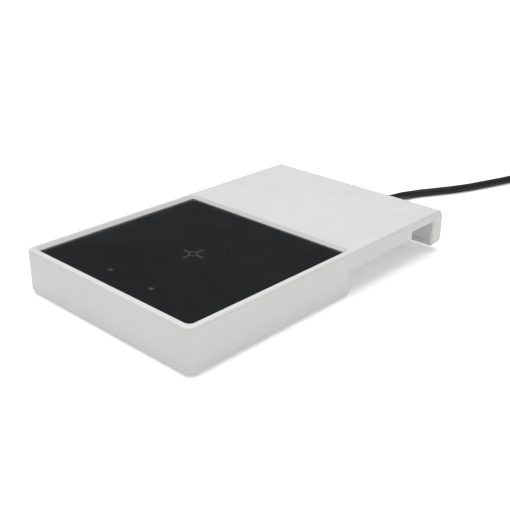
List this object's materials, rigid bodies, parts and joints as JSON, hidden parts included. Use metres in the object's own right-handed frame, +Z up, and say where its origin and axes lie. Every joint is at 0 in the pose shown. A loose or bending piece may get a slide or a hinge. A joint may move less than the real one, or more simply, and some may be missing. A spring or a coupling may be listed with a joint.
{
  "type": "wireless charging pad",
  "caption": "Flat charging pad: thick square front with a recessed dark panel, thin rear plate that ends in a hook lip, and a cord with a plug",
  "frame": {"origin": "middle of the pad's footprint, on the surface that the feet stand on; the cord and its plug are left out", "axes": "+X to the right and +Y to the rear, seen from the front; the hook lip and the cord are at the rear; +Z up"},
  "size_m": [0.1435, 0.3125, 0.02],
  "materials": {
    "housing": "satin white",
    "covers": "satin white",
    "panel": "gloss black",
    "adhesive": "matte",
    "marks": "printed grey",
    "light_guide": "clear",
    "copper": "enamelled copper",
    "ferrite": "matte",
    "carrier": "matte",
    "screws": "satin",
    "spreader": "satin",
    "thermal_pad": "matte",
    "board": "solder mask",
    "chips": "matte",
    "capacitors": "ceramic",
    "leds": "clear",
    "connector": "matte",
    "wires": "matte",
    "feet": "matte",
    "cord": "matte black",
    "plug": "matte black",
    "plug_metal": "nickel plated",
    "contacts": "gold plated"
  },
  "bodies": {
    "root": {"housing": "housing", "bottom_cover": "covers", "rear_cover": "covers", "hook_cover": "covers", "panel": "panel", "panel_adhesive": "adhesive", "centre_mark": "marks", "status_marks": "marks", "light_guides": "light_guide", "charging_coil": "copper", "coil_leads": "copper", "temperature_sensor": "chips", "ferrite_sheet": "ferrite", "coil_carrier": "carrier", "carrier_screws": "screws", "heat_spreader": "spreader", "thermal_pad": "thermal_pad", "main_board": "board", "board_screws": "screws", "controller_chip": "chips", "bridge_transistors": "chips", "resonant_capacitors": "capacitors", "input_capacitors": "capacitors", "power_inductor": "chips", "indicator_leds": "leds", "wire_connector": "connector", "supply_wires": "wires", "bottom_cover_screws": "screws", "rear_cover_screws": "screws", "hook_cover_screws": "screws", "rubber_feet": "feet", "strain_relief": "cord", "cord": "cord", "cord_coil": "cord", "cord_tail": "cord", "plug_body": "plug", "plug_shell": "plug_metal", "plug_tongue": "connector", "plug_contacts": "contacts"}
  },
  "joints": []
}
